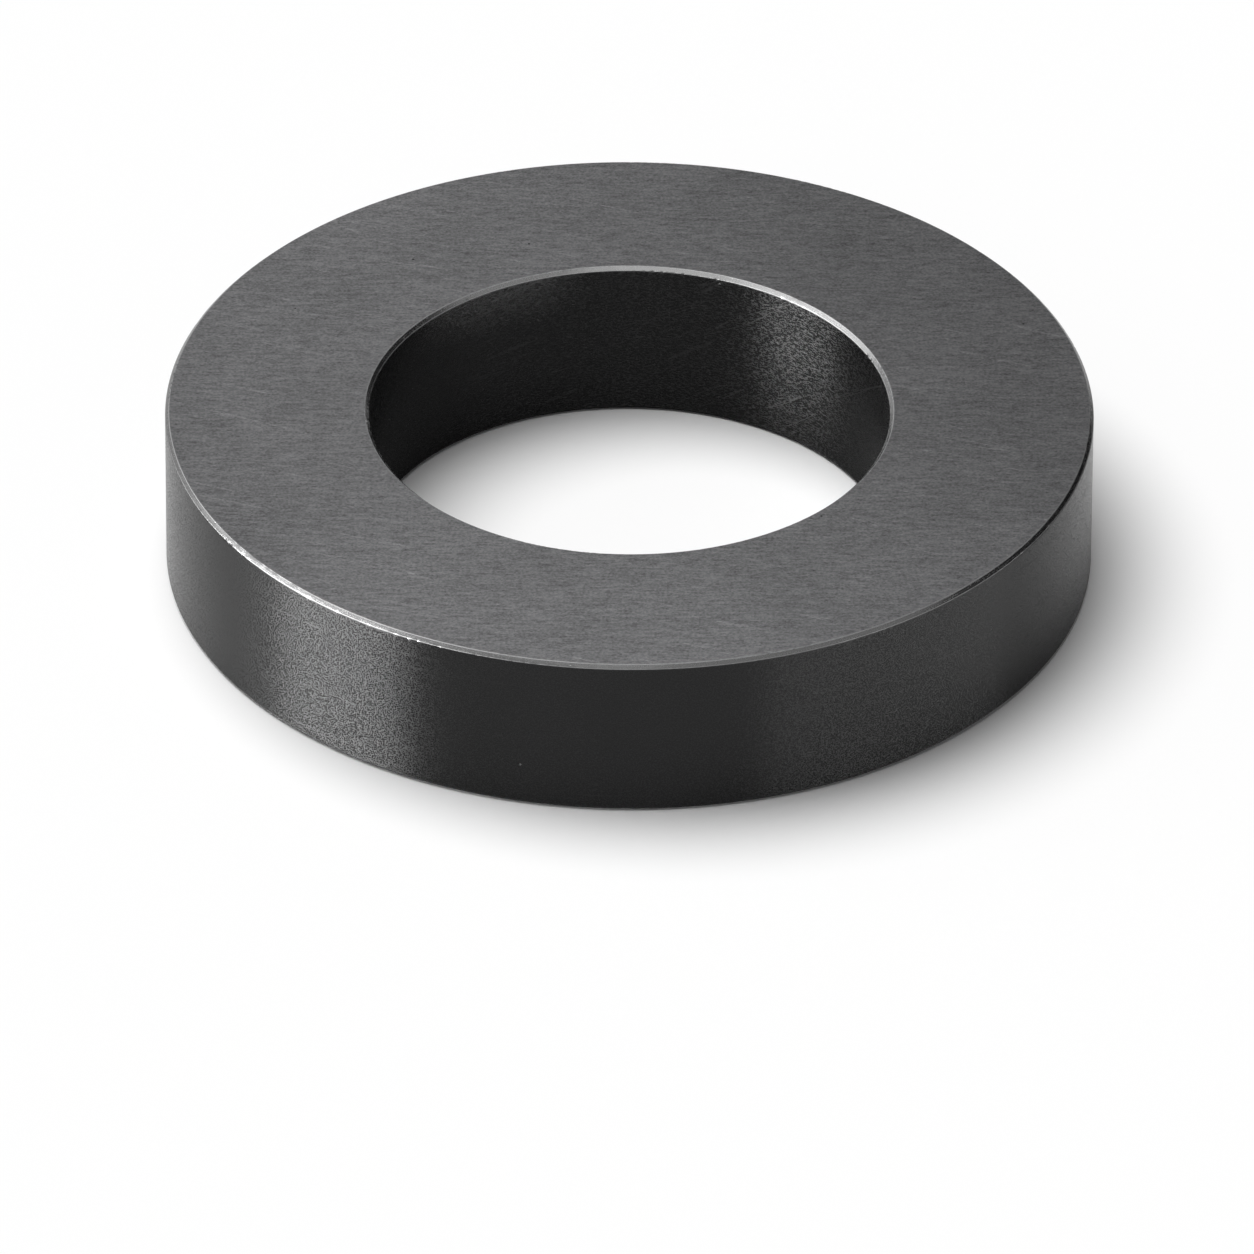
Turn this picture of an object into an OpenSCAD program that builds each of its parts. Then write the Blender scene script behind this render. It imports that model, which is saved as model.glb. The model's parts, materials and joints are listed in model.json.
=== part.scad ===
// Flat ring magnet of sintered hard ferrite: a ground disc with a straight through bore.
// The ring lies on the floor plane, with its middle on the Z axis and its faces square to it.
// The grinding marks on its faces run along X.

/* [Ring] */

// Outer diameter of the ring
outer_d = 57; // [46:0.5:70]
// Diameter of the straight wall of the bore
bore_d = 32; // [20:0.5:40]
// Thickness, from the lower face to the upper face
thickness = 10.5; // [4:0.5:16]

/* [Edges] */

// Width of the 45 degree chamfer round the outer edge of each face
outer_chamfer = 0.25; // [0.05:0.05:1]
// Width of the 45 degree chamfer round the bore's edge at each face
bore_chamfer = 0.25; // [0.05:0.05:1]

/* [Colour] */

// Red, green and blue of the fired ferrite
ferrite_colour = [0.12, 0.12, 0.125];

/* [Hidden] */

// Radius of the outer wall
outer_r = outer_d / 2;
// Radius of the bore's wall
bore_r = bore_d / 2;
// Segments in the preview's circles
$fn = 192;

// The ring's section on one side of the Z axis, counter-clockwise from the bore's lower edge
module ring_section() {
    polygon([
        [bore_r + bore_chamfer, 0],
        [outer_r - outer_chamfer, 0],
        [outer_r, outer_chamfer],
        [outer_r, thickness - outer_chamfer],
        [outer_r - outer_chamfer, thickness],
        [bore_r + bore_chamfer, thickness],
        [bore_r, thickness - bore_chamfer],
        [bore_r, bore_chamfer]
    ]);
}

// The whole magnet, one solid
module ring_magnet() {
    color(ferrite_colour)
        rotate_extrude()
            ring_section();
}

ring_magnet();
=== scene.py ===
import json
import math

import bmesh
import bpy
from mathutils import Matrix, Vector, noise


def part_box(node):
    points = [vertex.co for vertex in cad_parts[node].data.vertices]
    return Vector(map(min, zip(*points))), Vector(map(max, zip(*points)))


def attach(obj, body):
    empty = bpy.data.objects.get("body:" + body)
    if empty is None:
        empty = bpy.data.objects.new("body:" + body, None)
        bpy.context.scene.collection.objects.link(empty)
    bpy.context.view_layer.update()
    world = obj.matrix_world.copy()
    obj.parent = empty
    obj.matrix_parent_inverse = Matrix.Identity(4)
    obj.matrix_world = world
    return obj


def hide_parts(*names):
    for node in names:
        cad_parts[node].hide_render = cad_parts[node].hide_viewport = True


mm = 0.001
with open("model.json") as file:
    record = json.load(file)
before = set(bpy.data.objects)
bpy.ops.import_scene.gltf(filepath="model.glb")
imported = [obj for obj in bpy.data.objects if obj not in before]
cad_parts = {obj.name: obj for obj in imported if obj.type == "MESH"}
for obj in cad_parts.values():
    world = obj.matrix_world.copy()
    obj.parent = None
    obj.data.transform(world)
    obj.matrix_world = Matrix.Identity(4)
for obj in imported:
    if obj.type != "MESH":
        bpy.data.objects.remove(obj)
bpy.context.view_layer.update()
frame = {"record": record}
scene = bpy.context.scene
low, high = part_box("ring_magnet")
mounts = {m["name"]: m["dims"] for m in frame["record"]["mounts"]}

# The ring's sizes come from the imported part, so everything below follows them.
thickness = high.z - low.z
outerRadius = mounts["outer_rim"]["r_mm"] * mm
boreRadius = mounts["bore"]["r_mm"] * mm
outerChamfer = (thickness - mounts["outer_rim"]["length_mm"] * mm) / 2
boreChamfer = (thickness - mounts["bore"]["length_mm"] * mm) / 2

# Camera

camera = {
    "distance": 42.1 * outerRadius,
    "pitch": 33.68,  # degrees above the floor
    "roll": -0.31,
    "lens": 561.2,
    "aim": (-0.0027 * outerRadius, -0.2613 * outerRadius, thickness - 0.3921 * outerRadius),
}


def makeCamera(look):
    data = bpy.data.cameras.new("camera")
    data.lens = look["lens"]
    data.sensor_width = 36
    data.clip_start = 0.01
    data.clip_end = 20
    eye = bpy.data.objects.new("camera", data)
    scene.collection.objects.link(eye)
    pitch = math.radians(look["pitch"])
    forward = Vector((0, math.cos(pitch), -math.sin(pitch)))
    roll = Matrix.Rotation(math.radians(-look["roll"]), 3, "Z")
    turn = forward.to_track_quat("-Z", "Y").to_matrix() @ roll
    eye.location = Vector(look["aim"]) - look["distance"] * forward
    eye.rotation_euler = turn.to_euler()
    scene.camera = eye


makeCamera(camera)
scene.view_settings.view_transform = "Standard"
print("camera ready")

# Effects that the finishes share

noiseSpan = (0.35, 0.65)  # nearly all of a noise lies between these
patchSpan = (0.3, 0.7)
scratchWidth = 0.02  # of the noise's height
smallestPit = 0.4  # of the given radius
pitEdge = 0.5  # how far in a pit's slope reaches


def put(tree, kind, settings=None, **values):
    node = tree.nodes.new("ShaderNode" + kind)
    for name, value in (settings or {}).items():
        setattr(node, name, value)
    for name, value in values.items():
        socket = node.inputs[int(name[1:])] if name[0] == "i" and name[1:].isdigit() else node.inputs[name]
        if isinstance(value, bpy.types.NodeSocket):
            tree.links.new(value, socket)
        else:
            socket.default_value = value
    return node


def calc(tree, operation, *values, clamp=False):
    sums = put(tree, "Math", {"operation": operation, "use_clamp": clamp},
               **{f"i{n}": value for n, value in enumerate(values)})
    return sums.outputs[0]


def ramp(tree, value, given=(0, 1), made=(0, 1), **settings):
    node = put(tree, "MapRange", settings, Value=value)
    for label, limit in zip(("From Min", "From Max", "To Min", "To Max"), (*given, *made)):
        node.inputs[label].default_value = limit
    return node.outputs["Result"]


def band(tree, value, start, end):
    return ramp(tree, value, (start, end), interpolation_type="SMOOTHSTEP")


def effect(name, inputs, outputs):
    group = bpy.data.node_groups.new(name, "ShaderNodeTree")
    for label, kind, value in inputs:
        socket = group.interface.new_socket(label, in_out="INPUT", socket_type="NodeSocket" + kind)
        if value is not None:
            socket.default_value = value
    for label in outputs:
        group.interface.new_socket(label, in_out="OUTPUT", socket_type="NodeSocketFloat")
    return group, group.nodes.new("NodeGroupInput").outputs, group.nodes.new("NodeGroupOutput").inputs


def scaled(tree, vector, size):
    return put(tree, "VectorMath", {"operation": "DIVIDE"}, i0=vector, i1=size).outputs[0]


def blended(tree, share, first, second):
    return put(tree, "Mix", {"data_type": "FLOAT"}, Factor=share, A=first, B=second).outputs[0]


def makeMarks():
    # Short marks or grain, long along one axis when its size is, with a finer set over them
    group, given, out = effect("surfaceMarks", [
        ("Vector", "Vector", None), ("Size", "Vector", (1, 1, 1)), ("Fine Size", "Vector", (1, 1, 1)),
        ("Fine Share", "Float", 0.5), ("Wander", "Float", 0.0)], ["Marks"])
    layers = [put(group, "TexNoise", Vector=scaled(group, given["Vector"], given[size]), Scale=1.0,
                  Detail=2.0, Roughness=0.6, Distortion=given["Wander"]).outputs["Fac"]
              for size in ("Size", "Fine Size")]
    mixed = blended(group, given["Fine Share"], *layers)
    group.links.new(ramp(group, mixed, noiseSpan, clamp=False), out["Marks"])
    return group


def makeClouds():
    # Slow patches of slightly lighter and darker material
    group, given, out = effect("slowPatches", [
        ("Vector", "Vector", None), ("Size", "Float", 0.01)], ["Patches"])
    soft = put(group, "TexNoise", Vector=given["Vector"], Scale=calc(group, "DIVIDE", 1.0, given["Size"]),
               Detail=3.0, Roughness=0.5)
    group.links.new(band(group, soft.outputs["Fac"], *patchSpan), out["Patches"])
    return group


def makePits():
    # A few cells of a fine net hold a small pit each
    group, given, out = effect("smallPits", [
        ("Vector", "Vector", None), ("Spacing", "Float", 0.001), ("Radius", "Float", 0.1),
        ("Share", "Float", 0.1)], ["Pits"])
    net = put(group, "TexVoronoi", Vector=given["Vector"],
              Scale=calc(group, "DIVIDE", 1.0, given["Spacing"]))
    pick = put(group, "SeparateColor", Color=net.outputs["Color"])
    chosen = calc(group, "LESS_THAN", pick.outputs["Red"], given["Share"])
    size = calc(group, "MULTIPLY", given["Radius"], calc(group, "ADD", smallestPit, pick.outputs["Green"]))
    hollow = calc(group, "SUBTRACT", 1.0, calc(group, "DIVIDE", net.outputs["Distance"], size), clamp=True)
    group.links.new(calc(group, "MULTIPLY", chosen, band(group, hollow, 0, pitEdge)), out["Pits"])
    return group


def makeScratches():
    # Thin lines, wherever a very long and narrow noise peaks
    group, given, out = effect("fineScratches", [
        ("Vector", "Vector", None), ("Size", "Vector", (1, 1, 1)), ("Tilt", "Vector", (0, 0, 0)),
        ("Rarity", "Float", 0.7)], ["Scratches"])
    turned = put(group, "VectorRotate", {"rotation_type": "EULER_XYZ"}, Vector=given["Vector"],
                 Rotation=given["Tilt"]).outputs[0]
    streak = put(group, "TexNoise", Vector=scaled(group, turned, given["Size"]), Scale=1.0, Detail=0.0)
    near = calc(group, "ABSOLUTE", calc(group, "SUBTRACT", streak.outputs["Fac"], given["Rarity"]))
    line = calc(group, "SUBTRACT", 1.0, calc(group, "DIVIDE", near, scratchWidth), clamp=True)
    group.links.new(line, out["Scratches"])
    return group


def makeRimWear():
    # The rims' wear and painted highlight, lighter along each arris and broken up by grain so that it isn't
    # an even line
    group, given, out = effect("rimWear", [
        ("Vector", "Vector", None), ("Wear", "Float", 0.0), ("Grain", "Float", 0.0002),
        ("Breakup", "Float", 0.5)], ["Worn"])
    rough = put(group, "TexNoise", Vector=given["Vector"], Scale=calc(group, "DIVIDE", 1.0, given["Grain"]),
                Detail=2.0)
    gaps = calc(group, "SUBTRACT", 1.0, band(group, rough.outputs["Fac"], *noiseSpan))
    kept = calc(group, "SUBTRACT", 1.0, calc(group, "MULTIPLY", given["Breakup"], gaps))
    wornAndHighlit = calc(group, "MULTIPLY", given["Wear"], kept, clamp=True)
    group.links.new(wornAndHighlit, out["Worn"])
    return group


shared = {"marks": makeMarks(), "patches": makeClouds(), "pits": makePits(), "scratches": makeScratches(),
          "wearAndHighlight": makeRimWear()}


def use(tree, effectName, **values):
    node = tree.nodes.new("ShaderNodeGroup")
    node.node_tree = shared[effectName]
    for name, value in values.items():
        socket = node.inputs[name.replace("_", " ")]
        if isinstance(value, bpy.types.NodeSocket):
            tree.links.new(value, socket)
        else:
            socket.default_value = value
    return node.outputs[0]


# Finishes: the ground faces, the two walls and the chamfers

common = {
    "rimWear": {"Grain": 0.15 * mm, "Breakup": 0.5},
    "wornRough": 0.6,
    "wornGain": 3.0,  # rims turn rough sooner than light
    "scratchRough": 0.5,
    "blueTint": 1.02,
    "reliefStep": 0.01 * mm,
}
groundFace = {
    "name": "groundFace",
    "dark": 0.098, "light": 0.214, "wornAndHighlit": 0.25, "pitShade": 0.03,
    "rough": (0.6, 0.5), "level": 0.0, "ior": 1.5, "anisotropic": 0.0,
    "marks": {"Size": (1.1 * mm, 0.19 * mm, 1 * mm), "Fine_Size": (0.15 * mm, 0.12 * mm, 1 * mm),
              "Fine_Share": 0.6, "Wander": 0.0},
    "markDepth": 0.0015 * mm,
    "pits": {"Spacing": 0.9 * mm, "Radius": 0.1, "Share": 0.03},
    "pitDepth": 0.03 * mm,
    "scratches": {"Size": (14 * mm, 0.5 * mm, 10 * mm), "Tilt": (0, 0, 0.35), "Rarity": 0.72},
    "scratchLight": 0.36, "scratchDull": 0.0,
    "patchSize": 9 * mm, "patchLight": 0.06,
}
outerWall = {
    "name": "outerWall",
    "dark": 0.005, "light": 0.011, "wornAndHighlit": 0.1, "pitShade": 0.003,
    "rough": (0.05, 0.46), "level": 0.2, "ior": 1.5, "anisotropic": 0.95,
    "marks": {"Size": (0.1 * mm, 0.1 * mm, 0.08 * mm), "Fine_Size": (0.08 * mm, 0.08 * mm, 0.06 * mm),
              "Fine_Share": 0.45, "Wander": 0.0},
    "markDepth": 0.0025 * mm,
    "pits": {"Spacing": 1.1 * mm, "Radius": 0.1, "Share": 0.05},
    "pitDepth": 0.03 * mm,
    "scratches": {"Size": (10 * mm, 10 * mm, 0.5 * mm), "Tilt": (0.1, 0, 0), "Rarity": 0.75},
    "scratchLight": 0.15, "scratchDull": 0.3,
    "patchSize": 7 * mm, "patchLight": 0.1,
}
boreWall = {
    "name": "boreWall",
    "dark": 0.004, "light": 0.01, "wornAndHighlit": 0.1, "pitShade": 0.003,
    "rough": (0.05, 0.42), "level": 0.5, "ior": 1.5, "anisotropic": 0.95,
    "marks": {"Size": (0.27 * mm, 0.27 * mm, 0.07 * mm), "Fine_Size": (0.12 * mm, 0.12 * mm, 0.05 * mm),
              "Fine_Share": 0.45, "Wander": 0.0},
    "markDepth": 0.008 * mm,
    "pits": {"Spacing": 1.1 * mm, "Radius": 0.1, "Share": 0.04},
    "pitDepth": 0.03 * mm,
    "scratches": {"Size": (8 * mm, 8 * mm, 0.4 * mm), "Tilt": (0.5, 0.4, 0), "Rarity": 0.72},
    "scratchLight": 0.3, "scratchDull": 0.6,
    "patchSize": 7 * mm, "patchLight": 0.1,
}
chamfer = {
    "name": "chamfer",
    "dark": 0.008, "light": 0.02, "wornAndHighlit": 0.2, "pitShade": 0.005,
    "rough": (0.32, 0.18), "level": 0.5, "ior": 1.9, "anisotropic": 0.0,
    "marks": {"Size": (0.9 * mm, 0.9 * mm, 0.06 * mm), "Fine_Size": (0.12 * mm,) * 3,
              "Fine_Share": 0.5, "Wander": 0.2},
    "markDepth": 0.002 * mm,
    "pits": {"Spacing": 0.35 * mm, "Radius": 0.15, "Share": 0.12},
    "pitDepth": 0.02 * mm,
    "scratches": {"Size": (3 * mm, 3 * mm, 0.3 * mm), "Tilt": (0.2, 0, 0), "Rarity": 0.74},
    "scratchLight": 0.3, "scratchDull": 0.0,
    "patchSize": 4 * mm, "patchLight": 0.1,
}
# The rims' wear and painted highlight is stronger in the bore and faint on the lower rims
boreEdge = dict(chamfer, name="boreEdge", wornAndHighlit=0.3, ior=2.3)
underEdge = dict(chamfer, name="underEdge", wornAndHighlit=0.03, rough=(0.7, 0.6), level=0.1, ior=1.5)


def makeFinish(look):
    finish = bpy.data.materials.new(look["name"])
    finish.use_nodes = True
    tree = finish.node_tree
    shader = tree.nodes["Principled BSDF"]
    shader.inputs["Specular IOR Level"].default_value = look["level"]
    shader.inputs["IOR"].default_value = look["ior"]
    where = put(tree, "TexCoord").outputs["Object"]
    wearAndHighlight = put(tree, "Attribute", {"attribute_name": "wearAndHighlight"}).outputs["Fac"]

    marks = use(tree, "marks", Vector=where, **look["marks"])
    patches = use(tree, "patches", Vector=where, Size=look["patchSize"])
    pits = use(tree, "pits", Vector=where, **look["pits"])
    scratches = use(tree, "scratches", Vector=where, **look["scratches"])
    wornAndHighlit = use(tree, "wearAndHighlight", Vector=where, Wear=wearAndHighlight, **common["rimWear"])

    # Lightness: marks and patches, then rim wear with painted highlight, and pits with painted shade
    ground = ramp(tree, marks, made=(look["dark"], look["light"]), clamp=False)
    patched = calc(tree, "MULTIPLY", ground, calc(
        tree, "ADD", 1 - look["patchLight"], calc(tree, "MULTIPLY", patches, 2 * look["patchLight"])))
    lit = calc(tree, "MULTIPLY", patched, calc(
        tree, "ADD", 1.0, calc(tree, "MULTIPLY", scratches, look["scratchLight"])))
    # Rims lighter: part wear, part painted highlight along the arrises
    rubbedAndHighlit = blended(tree, wornAndHighlit, lit, look["wornAndHighlit"])
    # Painted shade: each pit is darker
    pitted = blended(tree, pits, rubbedAndHighlit, look["pitShade"])
    colour = put(tree, "CombineColor", Red=pitted, Green=pitted,
                 Blue=calc(tree, "MULTIPLY", pitted, common["blueTint"]))
    tree.links.new(colour.outputs[0], shader.inputs["Base Color"])

    # Roughness: it follows the marks too, so that highlights show the grain
    rough = ramp(tree, marks, made=look["rough"], clamp=True)
    rubbedRough = blended(tree, calc(tree, "MULTIPLY", wearAndHighlight, common["wornGain"], clamp=True), rough,
                          common["wornRough"])
    scored = blended(tree, calc(tree, "MULTIPLY", scratches, look["scratchDull"]), rubbedRough,
                     common["scratchRough"])
    tree.links.new(scored, shader.inputs["Roughness"])

    height = calc(tree, "SUBTRACT", calc(tree, "MULTIPLY", marks, look["markDepth"]),
                  calc(tree, "MULTIPLY", pits, look["pitDepth"]))
    step = common["reliefStep"]
    relief = put(tree, "Bump", Height=calc(tree, "DIVIDE", height, step), Distance=step, Strength=1.0)
    tree.links.new(relief.outputs[0], shader.inputs["Normal"])
    if look["anisotropic"]:
        shader.inputs["Anisotropic"].default_value = look["anisotropic"]
        shader.inputs["Anisotropic Rotation"].default_value = 0.25  # gloss spreads up and down the wall
        turn = put(tree, "Tangent", {"direction_type": "RADIAL", "axis": "Z"})
        tree.links.new(turn.outputs[0], shader.inputs["Tangent"])
    return finish


finishes = {look["name"]: makeFinish(look)
            for look in (groundFace, outerWall, boreWall, chamfer, boreEdge, underEdge)}
zones = list(finishes)
print("finishes ready")

# Ring: a section with chamfers and worn arrises, spun round the bore's axis; the rims are lighter as wear
# and as painted highlight

ring = {
    "sectors": 24,
    "sectorSegments": 60,
    "rounding": 0.014 * mm,  # of each arris
    "edgeRows": (0.05, 0.15, 0.3),  # mm in from each arris, where the mesh is fine enough for chips
    "chamferRows": (0.18, 0.5, 0.82),  # across each chamfer
    "longEdge": 2 * mm,
    "flatCuts": 1,
    "mergeWithin": 0.001 * mm,
    "chamferSpan": (0.98, 1.6),  # of a chamfer's width: how far in from each flat, and from both together
    "wearReach": 0.7 * mm,  # past a chamfer
    # The rims' mask is wear and painted highlight, lighter along the arrises and fainter on the lower rims
    "wearAndHighlightWidth": 0.045 * mm,
    "wearAndHighlightShare": (0.45, 1),  # of the wall's rim and of the face's
    "wearAndHighlightBelow": 0.3,
    "patchLength": 7 * mm,
    "patchMean": 0.5,
    "patchSwing": 0.9,
    "darkDepth": 0.03 * mm,
    "toothDepth": 0.17 * mm,
    "toothLength": 0.22 * mm,
    "toothReach": 0.07 * mm,
    "toothBias": 0.1,
    "chipDepth": 0.07 * mm,
    "chipLength": 0.5 * mm,
    "chipReach": 0.12 * mm,
    "chipRarity": 0.45,  # 0 chips everywhere, 0.8 hardly any
    "chipLeast": 0.2,  # of its depth, where the rim is little worn
    "seed": 103,
    "seedSteps": (3.7, 9.1, 17.3),  # so that no two rims wear alike
}


def cutAcross(bm, point, normal):
    bmesh.ops.bisect_plane(bm, geom=list(bm.verts) + list(bm.edges), plane_co=point, plane_no=normal)


def sectionOutline(look):
    bm = bmesh.new()
    corners = [bm.verts.new(p) for p in (
        (boreRadius, 0, low.z), (outerRadius, 0, low.z), (outerRadius, 0, high.z), (boreRadius, 0, high.z))]
    bm.faces.new(corners)
    for side, width in ((corners[0::3], boreChamfer), (corners[1:3], outerChamfer)):
        bmesh.ops.bevel(bm, geom=side, offset=width, offset_type="OFFSET", segments=1, profile=0.5,
                        affect="VERTICES", material=-1)
    bmesh.ops.bevel(bm, geom=list(bm.verts), offset=look["rounding"], offset_type="OFFSET", segments=2,
                    profile=0.5, affect="VERTICES", material=-1)
    bmesh.ops.delete(bm, geom=list(bm.faces), context="FACES_ONLY")
    for part in look["chamferRows"]:
        cutAcross(bm, (outerRadius - outerChamfer * part, 0, 0), (1, 0, 0))
        cutAcross(bm, (boreRadius + boreChamfer * part, 0, 0), (1, 0, 0))
    for row in look["edgeRows"]:
        cutAcross(bm, (outerRadius - outerChamfer - row * mm, 0, 0), (1, 0, 0))
        cutAcross(bm, (boreRadius + boreChamfer + row * mm, 0, 0), (1, 0, 0))
        cutAcross(bm, (0, 0, low.z + outerChamfer + row * mm), (0, 0, 1))
        cutAcross(bm, (0, 0, high.z - outerChamfer - row * mm), (0, 0, 1))
    flats = [e for e in bm.edges if e.calc_length() > look["longEdge"]]
    bmesh.ops.subdivide_edges(bm, edges=flats, cuts=look["flatCuts"])
    return bm


def nearArrises(p):
    r = math.hypot(p.x, p.y)
    outer = r > (outerRadius + boreRadius) / 2
    top = p.z > (low.z + high.z) / 2
    fromWall = outerRadius - r if outer else r - boreRadius
    fromFace = high.z - p.z if top else p.z - low.z
    width = outerChamfer if outer else boreChamfer
    return outer, top, width, fromWall, fromFace


def wearDownAndHighlight(bm, look):
    wearAndHighlight = bm.verts.layers.float.new("wearAndHighlight")
    sideStep, outerStep, topStep = look["seedSteps"]
    for v in bm.verts:
        outer, top, width, fromWall, fromFace = nearArrises(v.co)
        if min(fromWall, fromFace) > width or max(fromWall, fromFace) > width + look["wearReach"]:
            continue
        out = Vector((v.co.x, v.co.y, 0)).normalized() * (1 if outer else -1)
        inward = -(out + Vector((0, 0, 1 if top else -1))) / math.sqrt(2)
        place = v.co.copy()
        place.z = 0
        depth, wornAndHighlit = 0, 0
        wallRim = math.hypot(fromWall, fromFace - width)
        faceRim = math.hypot(fromWall - width, fromFace)
        for side, away in ((0, wallRim), (1, faceRim)):
            shift = Vector((0, 0, look["seed"] + sideStep * side + outerStep * outer + topStep * top))
            patch = look["patchSwing"] * noise.noise(place / look["patchLength"] + shift)
            tooth = max(0, look["toothBias"] + noise.noise(place / look["toothLength"] + shift))
            tooth *= max(0, patch)
            chip = max(0, noise.noise(place / look["chipLength"] + shift * 2) - look["chipRarity"])
            chip *= max(look["chipLeast"], look["patchMean"] + patch) / (1 - look["chipRarity"])
            bite = max(0, 1 - (away / look["chipReach"]) ** 2)
            depth = max(depth, look["toothDepth"] * tooth * max(0, 1 - away / look["toothReach"]),
                        look["chipDepth"] * chip * bite)
            share = look["wearAndHighlightShare"][side] * (1 if top else look["wearAndHighlightBelow"])
            wornAndHighlit = max(wornAndHighlit, share * (1 - away / look["wearAndHighlightWidth"]))
        v.co += inward * depth
        # A fresh bite gets none of the rims' wear and painted highlight
        v[wearAndHighlight] = wornAndHighlit * max(0, 1 - depth / look["darkDepth"])  # a fresh bite is dark


def zoneOf(face, look):
    outer, top, width, fromWall, fromFace = nearArrises(face.calc_center_median())
    farthest, both = (part * width for part in look["chamferSpan"])
    if max(fromWall, fromFace) < farthest and fromWall + fromFace < both:
        return "underEdge" if not top else "chamfer" if outer else "boreEdge"
    if fromFace < fromWall:
        return "groundFace"
    return "outerWall" if outer else "boreWall"


# The map that a bake draws the finishes on: the two faces as discs, the walls with their chamfers as strips
layout = {
    "gap": 0.004,
    "topSize": 0.27,  # radius of the upper face's disc, and next the lower one's
    "bottomSize": 0.22,
    "outerRows": (0.01, 0.132),  # where the two halves of the outer wall start
    "boreRow": 0.256,
    "boreScale": 9.6,
    "margin": 0.3 * mm,  # below each strip
}


def layMap(bm, look):
    layer = bm.loops.layers.uv.new("OFBake")
    gap = look["gap"]
    discs = {True: (look["topSize"], Vector((look["topSize"], 1 - look["topSize"]))),
             False: (look["bottomSize"], Vector((1 - look["bottomSize"] - gap, 1 - look["bottomSize"])))}
    outerScale = (1 - 2 * gap) / (math.pi * outerRadius)
    for face in bm.faces:
        middle = face.calc_center_median()
        outer, top = nearArrises(middle)[:2]
        if zones[face.material_index] == "groundFace":
            size, centre = discs[top]
            for loop in face.loops:
                spot = Vector((loop.vert.co.x * (1 if top else -1), loop.vert.co.y))
                loop[layer].uv = centre + spot * (size - gap) / outerRadius
            continue
        back = math.atan2(middle.y, middle.x) > 0
        for loop in face.loops:
            angle = math.atan2(loop.vert.co.y, loop.vert.co.x)
            if back and angle < -math.pi / 2:
                angle += 2 * math.pi
            if not back and angle > math.pi / 2:
                angle -= 2 * math.pi
            if not back:
                angle += math.pi
            fromWall = nearArrises(loop.vert.co)[3]
            along = look["margin"] + loop.vert.co.z - low.z + fromWall * (1 if top else -1)
            if outer:
                loop[layer].uv = (gap + angle * outerRadius * outerScale,
                                  look["outerRows"][back] + along * outerScale)
            else:
                loop[layer].uv = (gap + 0.5 * back + angle * boreRadius * look["boreScale"],
                                  look["boreRow"] + along * look["boreScale"])


def makeRing(look):
    bm = sectionOutline(look)
    sector = 2 * math.pi / look["sectors"]
    bmesh.ops.spin(bm, geom=list(bm.verts) + list(bm.edges), cent=(0, 0, 0), axis=(0, 0, 1), angle=sector,
                   steps=look["sectorSegments"], use_merge=False, use_duplicate=False)
    bmesh.ops.spin(bm, geom=list(bm.verts) + list(bm.edges) + list(bm.faces), cent=(0, 0, 0),
                   axis=(0, 0, 1), angle=2 * math.pi - sector, steps=look["sectors"] - 1,
                   use_merge=False, use_duplicate=True)
    bmesh.ops.remove_doubles(bm, verts=bm.verts, dist=look["mergeWithin"])
    bmesh.ops.recalc_face_normals(bm, faces=bm.faces)
    for face in bm.faces:
        face.smooth = True
        face.material_index = zones.index(zoneOf(face, look))
    layMap(bm, layout)
    wearDownAndHighlight(bm, look)
    mesh = bpy.data.meshes.new("ringMagnet")
    bm.to_mesh(mesh)
    bm.free()
    for finish in finishes.values():
        mesh.materials.append(finish)
    piece = bpy.data.objects.new("ringMagnet", mesh)
    scene.collection.objects.link(piece)
    return piece


piece = makeRing(ring)
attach(piece, "root")
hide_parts("ring_magnet")
print("ring ready:", len(piece.data.polygons), "faces")

# Floor, lamps and world

middle = (low + high) / 2
studio = {
    "fill": 0.15,
    "floorBounce": 0.35,
    "floorSun": {"strength": 2.83, "azimuth": 124, "height": 70, "softness": 49},
    # Each lamp: power, azimuth to the left of the front, height, distance from the ring's middle, size
    "glossLamps": {
        "low": (5.1, 66.5, 0, 0.3, (0.175, 0.0095)),
        "reach": (3.3, 77, 17, 0.3, (0.19, 0.09)),
        "left": (0.19, 98, 40, 0.17, (0.19, 0.13)),
        "right": (0.5, -60, 3, 0.17, (0.2, 0.03)),
        "overFront": (0.0108, 20, 62, 0.07, (0.05, 0.05)),
    },
    "plainLamps": {
        "keyLeft": (0.013, 37.9, 43.8, 0.079, (0.06, 0.06)),
        "keyFront": (0.028, 0, 36.7, 0.075, (0.06, 0.06)),
        "keyBack": (0.026, 143, 47.6, 0.074, (0.06, 0.06)),
    },
    "card": {"azimuth": -115, "height": 15, "distance": 0.22, "size": (0.3, 0.22)},
    # The disc's grey is painted shade in the bore, seen only in reflections
    "disc": {"shade": 0.18, "lift": 0.02 * mm},
    "floorSize": 3,
}


def seenDirectly(tree):
    path = put(tree, "LightPath")
    either = calc(tree, "MAXIMUM", path.outputs["Is Camera Ray"], path.outputs["Is Glossy Ray"])
    return calc(tree, "MAXIMUM", either, path.outputs["Is Transmission Ray"])


def shades(tree, dark, light):
    mix = put(tree, "Mix", {"data_type": "RGBA"}, Factor=seenDirectly(tree))
    mix.inputs[6].default_value = (dark, dark, dark, 1)
    mix.inputs[7].default_value = (light, light, light, 1)
    return mix.outputs[2]


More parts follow.
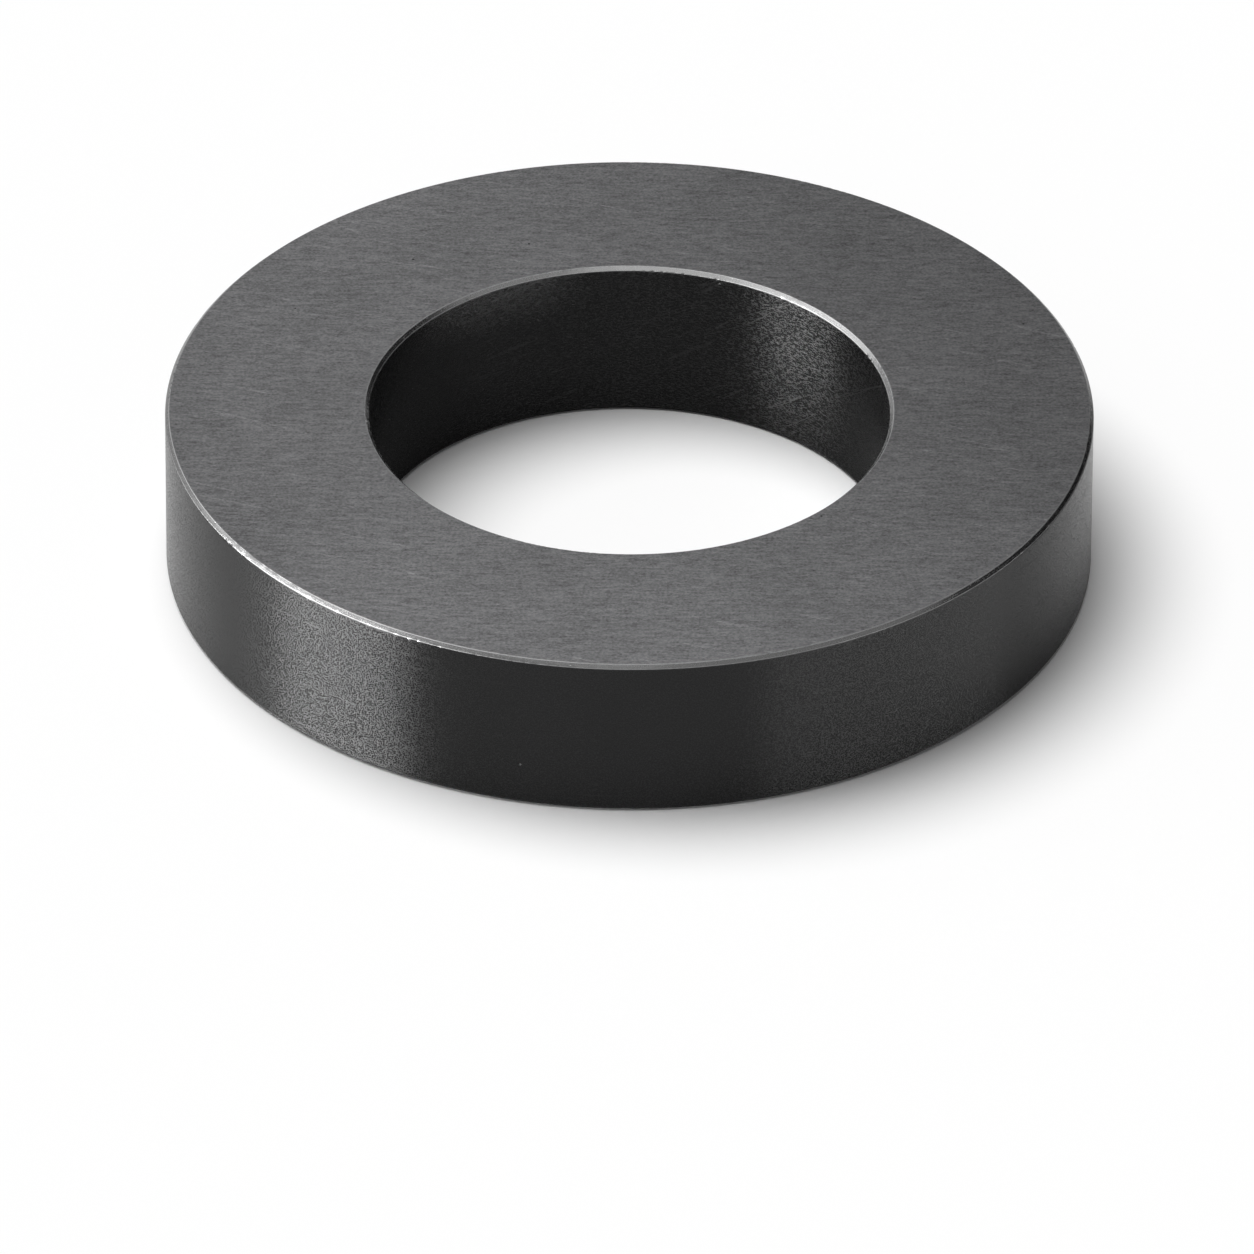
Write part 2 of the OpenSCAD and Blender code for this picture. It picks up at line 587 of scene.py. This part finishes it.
def makeFloor(look):
    bm = bmesh.new()
    bmesh.ops.create_grid(bm, x_segments=1, y_segments=1, size=look["floorSize"])
    bmesh.ops.translate(bm, verts=bm.verts, vec=(0, 0, low.z))
    mesh = bpy.data.meshes.new("floor")
    bm.to_mesh(mesh)
    bm.free()
    floor = bpy.data.objects.new("floor", mesh)
    scene.collection.objects.link(floor)
    paper = bpy.data.materials.new("floorPaper")
    paper.use_nodes = True
    tree = paper.node_tree
    tree.nodes.clear()
    matt = put(tree, "BsdfDiffuse", Color=shades(tree, look["floorBounce"], 1))
    put(tree, "OutputMaterial", Surface=matt.outputs[0])
    mesh.materials.append(paper)
    return floor


def makeLamp(name, data, lit, place, away):
    lamp = bpy.data.objects.new(name, data)
    scene.collection.objects.link(lamp)
    lamp.location = place
    lamp.rotation_euler = away.to_track_quat("Z", "Y").to_euler()
    lamp.visible_camera = False
    only = bpy.data.collections.new(name + "Lights")
    for thing in lit:
        only.objects.link(thing)
    lamp.light_linking.receiver_collection = only
    return lamp


def towards(azimuth, height):
    side, up = math.radians(azimuth), math.radians(height)
    return Vector((-math.sin(side) * math.cos(up), -math.cos(side) * math.cos(up), math.sin(up)))


def softbox(power, size):
    data = bpy.data.lights.new("softbox", "AREA")
    data.energy = power
    data.shape = "RECTANGLE"
    data.size, data.size_y = size
    return data


def makeCards(part, disc):
    # Only the gloss sees them: a black card out of the picture, and a grey disc on the floor within the
    # bore that is painted shade for the bore's walls to reflect
    bm = bmesh.new()
    bmesh.ops.create_grid(bm, x_segments=1, y_segments=1, size=0.5)
    bmesh.ops.scale(bm, verts=bm.verts, vec=(*part["size"], 1))
    away = towards(part["azimuth"], part["height"])
    bmesh.ops.transform(bm, verts=bm.verts, matrix=Matrix.Translation(middle + away * part["distance"])
                        @ away.to_track_quat("Z", "Y").to_matrix().to_4x4())
    bmesh.ops.create_circle(bm, cap_ends=True, segments=96, radius=boreRadius,
                            matrix=Matrix.Translation((0, 0, low.z + disc["lift"])))
    for face in bm.faces:
        face.material_index = 1 if len(face.verts) > 4 else 0
    mesh = bpy.data.meshes.new("cards")
    bm.to_mesh(mesh)
    bm.free()
    card = bpy.data.objects.new("cards", mesh)
    scene.collection.objects.link(card)
    for name, shade in (("blackCard", 0), ("boreShadeDisc", disc["shade"])):
        matt = bpy.data.materials.new(name)
        matt.use_nodes = True
        sockets = matt.node_tree.nodes["Principled BSDF"].inputs
        sockets["Base Color"].default_value = (shade, shade, shade, 1)
        sockets["Specular IOR Level"].default_value = 0
        mesh.materials.append(matt)
    card.visible_camera = card.visible_diffuse = card.visible_shadow = card.visible_transmission = False
    return card


def makeStudio(look):
    floor = makeFloor(look)
    cards = makeCards(look["card"], look["disc"])
    world = bpy.data.worlds.new("studio")
    scene.world = world
    world.use_nodes = True
    tree = world.node_tree
    tree.links.new(shades(tree, look["fill"], 1), tree.nodes["Background"].inputs["Color"])

    sun = bpy.data.lights.new("floorSun", "SUN")
    daylight = look["floorSun"]
    sun.energy = daylight["strength"]
    sun.angle = math.radians(daylight["softness"])
    makeLamp("floorSun", sun, (floor, cards), (0, 0, 1), towards(daylight["azimuth"], daylight["height"]))
    for group, gloss in (("glossLamps", True), ("plainLamps", False)):
        for name, (power, azimuth, height, distance, size) in look[group].items():
            away = towards(azimuth, height)
            lamp = makeLamp(name, softbox(power, size), [piece], middle + away * distance, away)
            lamp.visible_glossy = gloss  # the first group makes the highlights
            lamp.visible_diffuse = not gloss  # and the second lights the colours


makeStudio(studio)
print("studio ready")
